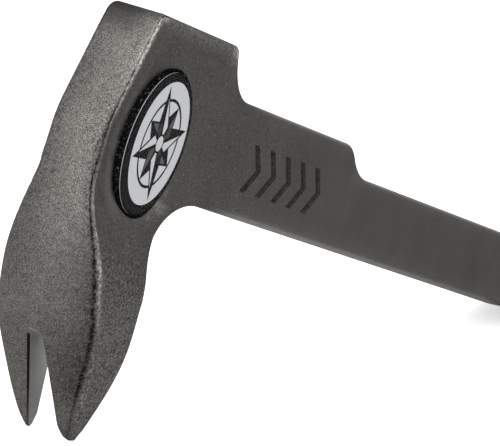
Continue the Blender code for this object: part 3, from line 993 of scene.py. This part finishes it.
def dome_profile():
    """A shell with room for the inks below it and a shallow arc above."""
    crest = DOME_RISE - DOME_EDGE
    radius = (DOME_RADIUS**2 + crest**2) / (2.0 * crest)
    roof, foot = FILM_FRONT + INK_ROOM, FILM_FRONT + WELD
    points = [
        (0.0, roof),
        (INK_REACH, roof),
        (INK_REACH, foot),
        (DOME_RADIUS, foot),
        (DOME_RADIUS, roof),
    ]
    for step in range(DOME_STEPS, -1, -1):
        across = DOME_RADIUS * DOME_CURVE * step / DOME_STEPS
        drop = radius - math.sqrt(radius**2 - across**2)
        points.append((across, FILM_FRONT + DOME_RISE - drop))
    return points


def disc(shape, radius):
    made = bmesh.ops.create_circle(shape, cap_ends=True, segments=DISC_STEPS, radius=radius)
    return [made["verts"][0].link_faces[0]]


def ring(shape, radius, width):
    faces = disc(shape, radius)
    band = bmesh.ops.inset_region(shape, faces=faces, thickness=width, use_boundary=True)["faces"]
    bmesh.ops.delete(shape, geom=faces, context="FACES_ONLY")
    return band


def fan(shape, corners, copies, turn):
    """A flat face of (across, up) corners, and its copies round the middle."""
    kept = set(shape.faces)
    verts = [shape.verts.new((*corner, 0.0)) for corner in corners]
    face = shape.faces.new(verts)
    bmesh.ops.rotate(shape, verts=verts, matrix=Matrix.Rotation(turn, 3, "Z"))
    bmesh.ops.spin(
        shape,
        geom=[face, *face.edges, *verts],
        cent=(0, 0, 0),
        axis=(0, 0, 1),
        angle=2.0 * math.pi * (copies - 1) / copies,
        steps=copies - 1,
        use_duplicate=True,
    )
    return [face for face in shape.faces if face not in kept]


def star(shape, points, tip, waist, turn):
    """The points of a star, and the light halves inside their outlines."""
    side = (waist * math.sin(math.pi / points), waist * math.cos(math.pi / points))
    dark = fan(shape, ((0.0, tip), (-side[0], side[1]), (0.0, 0.0), side), points, turn)
    light = fan(shape, ((0.0, tip), (0.0, 0.0), side), points, turn)
    inset = bmesh.ops.inset_individual(shape, faces=light, thickness=OUTLINE, use_even_offset=True)
    bmesh.ops.delete(shape, geom=inset["faces"], context="FACES")
    return dark, light


def ink(shape, faces, material, level):
    """Gives flat faces an ink and a body on this level of the print."""
    for face in faces:
        face.material_index = material
    verts = list({vert for face in faces for vert in face.verts})
    start = INK_THICK * (level - INK_BITE)
    bmesh.ops.translate(shape, verts=verts, vec=(*PRINT_PLACE, start))
    raised = bmesh.ops.extrude_face_region(shape, geom=faces)["geom"]
    tall = INK_THICK * (1.0 + INK_BITE)
    bmesh.ops.translate(shape, verts=verts_of(raised), vec=(0.0, 0.0, tall))


def make_film():
    film = lathe("film", FILM_PROFILE)
    for name, colour in FILM_INKS:
        film.data.materials.append(ink_look(name, colour))
    border, edge, white, black, grey = range(len(FILM_INKS))
    for polygon in film.data.polygons:
        polygon.material_index = edge if abs(polygon.normal.y) < WALL_SLANT else border
    shape = bmesh.new()
    ink(shape, disc(shape, PRINT_RADIUS), white, 0)
    ink(shape, ring(shape, *PRINT_RING), black, 1)
    for level, sizes, light_ink in ((1, SHORT_STAR, grey), (2, LONG_STAR, white)):
        dark, light = star(shape, *sizes)
        ink(shape, dark, black, level)
        ink(shape, light, light_ink, level + 1)
    for level, radius, hub_ink in ((4, HUB_RADIUS + OUTLINE, black), (5, HUB_RADIUS, white)):
        ink(shape, disc(shape, radius), hub_ink, level)
    badge_view = Matrix.Translation((0.0, -FILM_FRONT, 0.0))
    badge_view @= Matrix.Rotation(math.pi / 2.0, 4, "X")
    bmesh.ops.transform(shape, matrix=badge_view, verts=shape.verts)
    bmesh.ops.recalc_face_normals(shape, faces=shape.faces)
    shape.from_mesh(film.data)
    shape.to_mesh(film.data)
    shape.free()
    return film


def lean(obj):
    """Sinks and tilts a piece of the badge; the pad's back stays in its seat."""
    for vert in obj.data.vertices:
        share = min(1.0, (-vert.co.y - PAD_BACK) / (PAD_FRONT - PAD_BACK))
        vert.co.y += share * (BADGE_SINK + BADGE_LEAN * vert.co.x)


def place_piece(obj, body, node):
    """Turns a finished piece into the row's frame, with its place held in its mesh."""
    obj.data.transform(to_row)
    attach(obj, body)
    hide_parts(node)


def shade(obj, angle, flat=()):
    """Smooth shading with sharp edges from an angle up; faces of the flat materials stay flat."""
    for polygon in obj.data.polygons:
        polygon.use_smooth = obj.data.materials[polygon.material_index] not in flat
    obj.data.set_sharp_from_angle(angle=angle)


class Look:
    """A material with its Principled shader, and short ways to add nodes."""

    def __init__(self, name):
        self.material = bpy.data.materials.new(name)
        self.material.use_nodes = True
        self.tree = self.material.node_tree
        self.shader = self.tree.nodes["Principled BSDF"]
        self.place = self.tree.nodes.new("ShaderNodeTexCoord").outputs["Object"]

    def join(self, value, socket):
        if isinstance(value, bpy.types.NodeSocket):
            self.tree.links.new(value, socket)
        else:
            socket.default_value = value

    def set(self, **values):
        for name, value in values.items():
            self.join(value, self.shader.inputs[name.replace("_", " ")])

    def noise(self, scale, detail=2.0, rough=0.5):
        node = self.tree.nodes.new("ShaderNodeTexNoise")
        node.inputs["Scale"].default_value = scale
        node.inputs["Detail"].default_value = detail
        node.inputs["Roughness"].default_value = rough
        self.tree.links.new(self.place, node.inputs["Vector"])
        return node.outputs["Fac"]

    def cells(self, scale):
        node = self.tree.nodes.new("ShaderNodeTexVoronoi")
        node.inputs["Scale"].default_value = scale
        self.tree.links.new(self.place, node.inputs["Vector"])
        return node.outputs["Distance"]

    def part(self, vector, axis):
        node = self.tree.nodes.new("ShaderNodeSeparateXYZ")
        self.tree.links.new(vector, node.inputs["Vector"])
        return node.outputs[axis]

    def height(self):
        return self.part(self.place, "Z")

    def attribute(self, name):
        node = self.tree.nodes.new("ShaderNodeAttribute")
        node.attribute_name = name
        return node.outputs["Fac"]

    def math(self, operation, first, second):
        node = self.tree.nodes.new("ShaderNodeMath")
        node.operation = operation
        self.join(first, node.inputs[0])
        self.join(second, node.inputs[1])
        return node.outputs[0]

    def span(self, value, low, high, to_low=0.0, to_high=1.0):
        node = self.tree.nodes.new("ShaderNodeMapRange")
        ends = {"From Min": low, "From Max": high, "To Min": to_low, "To Max": to_high}
        self.join(value, node.inputs["Value"])
        for name, number in ends.items():
            self.join(number, node.inputs[name])
        return node.outputs["Result"]

    def blend(self, factor, first, second):
        node = self.tree.nodes.new("ShaderNodeMix")
        node.data_type = "RGBA"
        self.join(factor, node.inputs["Factor"])
        for value, number in zip((first, second), MIX_COLOURS):
            self.join(value, node.inputs[number])
        return node.outputs[MIX_RESULT]

    def bump(self, height, strength, distance):
        node = self.tree.nodes.new("ShaderNodeBump")
        self.join(strength, node.inputs["Strength"])
        node.inputs["Distance"].default_value = distance
        self.tree.links.new(height, node.inputs["Height"])
        self.tree.links.new(node.outputs["Normal"], self.shader.inputs["Normal"])


def painted_light_beside_badge(look):
    """1 on the cheek close to the badge, on the side of it that faces the claw, where painted light
    lightens the pad's shade.
    """
    node = look.tree.nodes.new("ShaderNodeMapping")
    node.inputs["Location"].default_value = (-stand.x, 0.0, -stand.z)
    node.inputs["Scale"].default_value = (1.0, 0.0, 1.0)
    look.tree.links.new(look.place, node.inputs["Vector"])
    around = node.outputs["Vector"]
    length = look.tree.nodes.new("ShaderNodeVectorMath")
    length.operation = "LENGTH"
    look.tree.links.new(around, length.inputs[0])
    close = look.span(length.outputs["Value"], *BESIDE_REACH, 1.0, 0.0)
    close.node.interpolation_type = "SMOOTHSTEP"
    ahead = look.span(look.part(around, "X"), *BESIDE_AHEAD)
    cheek = look.span(look.part(look.place, "Y"), *BESIDE_CHEEK)
    return look.math("MULTIPLY", close, look.math("MULTIPLY", ahead, cheek))


def steel_tone(look, grain, blotch, blasted):
    """How light the forging is, from its grain, its clouds, and its painted light and shade in
    places.
    """
    crumbs = look.span(look.noise(*CRUMBS), *NOISE, *CRUMB_TONE)
    tone = look.span(look.noise(*CLOUDS), *NOISE, *CLOUD_TONE)
    for more in (
        look.math("MULTIPLY", look.span(grain, *NOISE, *GRAIN_TONE), blasted),
        look.span(blasted, *BLAST_TONE),
        look.math("MULTIPLY", look.span(blotch, *NOISE, *BLOTCH_TONE), blasted),
        look.math("MULTIPLY", crumbs, look.attribute("coarse")),
        # painted light and shade in broad stretches
        look.attribute("painted_light"),
        # painted light beside the badge
        look.math("MULTIPLY", painted_light_beside_badge(look), BESIDE_BADGE_LIGHT),
    ):
        tone = look.math("ADD", tone, more)
    return tone


def steel_look():
    look = Look("forged_steel")
    grain = look.noise(*GRAIN)
    blotch = look.noise(*BLOTCHES)
    scuff = look.noise(*SCUFFS)
    blasted = look.attribute("blasted")
    speck = look.span(look.noise(*SPECKS), *SPECK_SPAN)
    colour = look.blend(steel_tone(look, grain, blotch, blasted), *STEEL_TONES)
    for share, spots in (
        (look.span(look.noise(*RUST_SPOTS), *RUST_SPAN), RUST),
        (look.math("MULTIPLY", speck, look.span(blasted, *SPECK_BLAST)), SPECK),
        # painted shade under the strike face
        (look.math("MULTIPLY", look.attribute("strike_shade"), STRIKE_SHADE_SHARE), STRIKE_SHADE),
        (look.math("MULTIPLY", look.attribute("worn"), look.span(scuff, *BARE_SPAN)), BARE_STEEL),
        # painted shade in the near groove and beside it
        (look.math("MULTIPLY", look.attribute("groove_shade"), look.span(scuff, *GROOVE_SHADE_SPAN)), GROOVE_SHADE),
    ):
        colour = look.blend(share, colour, spots)
    look.set(Base_Color=colour, Metallic=1.0, Specular_Tint=DULL_TINT)
    look.set(Roughness=look.span(blotch, *NOISE, *STEEL_ROUGH))
    look.bump(grain, look.math("MULTIPLY", blasted, GRAIN_BUMP), BUMP_DEEP)
    return look.material


def ground_look():
    look = Look("ground_steel")
    streak = look.noise(*STREAKS)
    colour = look.blend(look.span(streak, *NOISE), *GROUND_TONES)
    # painted light, lighter higher up the slot walls
    colour = look.blend(look.span(look.height(), *GROUND_PAINTED_LIGHT_RISE), colour, GROUND_PAINTED_LIGHT)
    look.set(Base_Color=colour, Metallic=1.0)
    look.set(Roughness=look.span(streak, *NOISE, *GROUND_ROUGH))
    look.bump(streak, *GROUND_BUMP)
    return look.material


# Painted shade on the seam down the slot's far wall.
def seam_shade_look():
    look = Look("seam_painted_shade")
    crust = look.noise(*CRUST)
    colour = look.blend(look.span(crust, *SEAM_CRUST), *SEAM_SHADE_TONES)
    colour = look.blend(look.span(look.height(), *SEAM_FALL), colour, SEAM_SHADE_END)
    look.set(Base_Color=colour, Roughness=SEAM_ROUGH, Specular_IOR_Level=SEAM_SHINE)
    look.bump(crust, SEAM_BUMP, BUMP_DEEP)
    return look.material


def stamp_look():
    look = Look("stamped_steel")
    scale = look.noise(*STAMP_SCALE)
    colour = look.blend(look.span(scale, *NOISE), *STAMP_TONES)
    look.set(Base_Color=colour, Metallic=1.0, Specular_Tint=DULL_TINT)
    look.set(Roughness=look.span(scale, *NOISE, *STAMP_ROUGH))
    look.bump(scale, STAMP_BUMP, BUMP_DEEP)
    return look.material


def foam_look():
    look = Look("black_foam")
    pores = look.cells(FOAM_PORES)
    fleck = look.span(look.noise(*FOAM_FLECKS), *FOAM_FLECK_SPAN)
    colour = look.blend(look.span(pores, *FOAM_PORE_SPAN), *FOAM_TONES)
    colour = look.blend(fleck, colour, FOAM_FLECK)
    look.set(Base_Color=colour, Roughness=FOAM_ROUGH, Specular_IOR_Level=0.0)
    look.bump(pores, FOAM_BUMP, BUMP_DEEP)
    return look.material


def ink_look(name, colour):
    look = Look(name)
    dim = tuple(channel * INK_DIM for channel in colour)
    mottled = look.blend(look.noise(*INK_MOTTLE), (*colour, 1.0), (*dim, 1.0))
    look.set(Base_Color=mottled, Roughness=INK_ROUGH, Specular_IOR_Level=0.0)
    return look.material


def resin_look():
    look = Look("clear_resin")
    look.set(Base_Color=RESIN, IOR=RESIN_IOR, Alpha=RESIN_ALPHA)
    look.set(Roughness=look.span(look.noise(*RESIN_WAVES), *NOISE, *RESIN_ROUGH))
    return look.material


def floor_look():
    """Pale, and white to the camera, also through the dome."""
    look = Look("floor")
    path = look.tree.nodes.new("ShaderNodeLightPath").outputs
    seen = look.math("MAXIMUM", path["Is Camera Ray"], path["Is Transmission Ray"])
    look.set(Base_Color=FLOOR_COLOUR, Roughness=FLOOR_ROUGH, Emission_Color=WHITE)
    look.set(Emission_Strength=look.math("MULTIPLY", seen, FLOOR_GLOW))
    return look.material


def make_bar():
    """The forging with its slots, seat and stamped marks cut."""
    steel = steel_look()
    ground = ground_look()
    bar, crest_marks = make_forging()
    bar.data.materials.append(steel)
    cut(
        bar,
        [
            (slot_cutter("claw_slot", CLAW_SLOT, CLAW_SLOT_REACH, FRONT_VIEW), ground),
            (loft_cutter("claw_relief", CLAW_SLOT, RELIEF_RINGS, RELIEF_VIEW), ground),
            (loft_cutter("claw_slot_edge", SEAM_SLOT, SEAM_RINGS, SEAM_VIEW), seam_shade_look()),
            (slot_cutter("tail_slot", TAIL_SLOT, TAIL_SLOT_REACH, TAIL_VIEW), ground),
            (seat_cutter("badge_seat"), steel),
            (chevron_cutter("neck_marks"), stamp_look()),
        ],
    )
    mark_surface(bar, crest_marks)
    shade(bar, FORGING_SHARP, (ground,))
    return bar


def add_camera():
    data = bpy.data.cameras.new("photo_camera")
    data.lens = CAMERA_LENS
    data.sensor_width = CAMERA_SENSOR
    camera = bpy.data.objects.new("photo_camera", data)
    camera.location = CAMERA_PLACE
    camera.rotation_euler = Euler([math.radians(angle) for angle in CAMERA_TURN])
    bpy.context.scene.collection.objects.link(camera)
    bpy.context.scene.camera = camera


def add_key_lamp():
    data = bpy.data.lights.new("key", "AREA")
    data.shape = "DISK"
    data.size = KEY_SIZE
    data.energy = KEY_POWER
    lamp = bpy.data.objects.new("key", data)
    lamp.location = KEY_PLACE
    lamp.rotation_euler = (KEY_PLACE - KEY_TARGET).to_track_quat("Z", "Y").to_euler()
    bpy.context.scene.collection.objects.link(lamp)


def add_backdrop():
    world = bpy.data.worlds.new("studio")
    world.use_nodes = True
    backdrop = world.node_tree.nodes["Background"]
    backdrop.inputs["Color"].default_value = WHITE
    backdrop.inputs["Strength"].default_value = 1.0
    bpy.context.scene.world = world


strike = next(mount for mount in frame["record"]["mounts"] if mount["name"] == "strike_face")
tilt = math.atan2(strike["axis"][0], strike["axis"][2])
turn = Matrix.Rotation(tilt, 4, "Y")
stand = Vector(strike["pos_m"]) - turn @ (STRIKE_MIDDLE * MM)
to_row = Matrix.Translation(stand) @ turn @ Matrix.Scale(MM, 4)

forging = make_bar()
pad = lathe("foam_pad", PAD_PROFILE)
film = make_film()
dome = lathe("dome", dome_profile())
pad.data.materials.append(foam_look())
dome.data.materials.append(resin_look())
for piece in (pad, film, dome):
    lean(piece)
    shade(piece, BADGE_SHARP)

for piece, node, slot in (
    (forging, "forged_bar", "forged_steel"),
    (pad, "badge_pad", "black_foam"),
    (film, "badge_film", "printed_film"),
    (dome, "badge_dome", "clear_resin"),
):
    place_piece(piece, "root", node)

add_camera()
add_key_lamp()
add_backdrop()
floor_shape = bmesh.new()
bmesh.ops.create_grid(floor_shape, x_segments=1, y_segments=1, size=FLOOR_SIZE)
floor = to_object(floor_shape, "floor")
floor.data.materials.append(floor_look())
bpy.context.scene.view_settings.view_transform = "Standard"

bpy.context.view_layer.update()
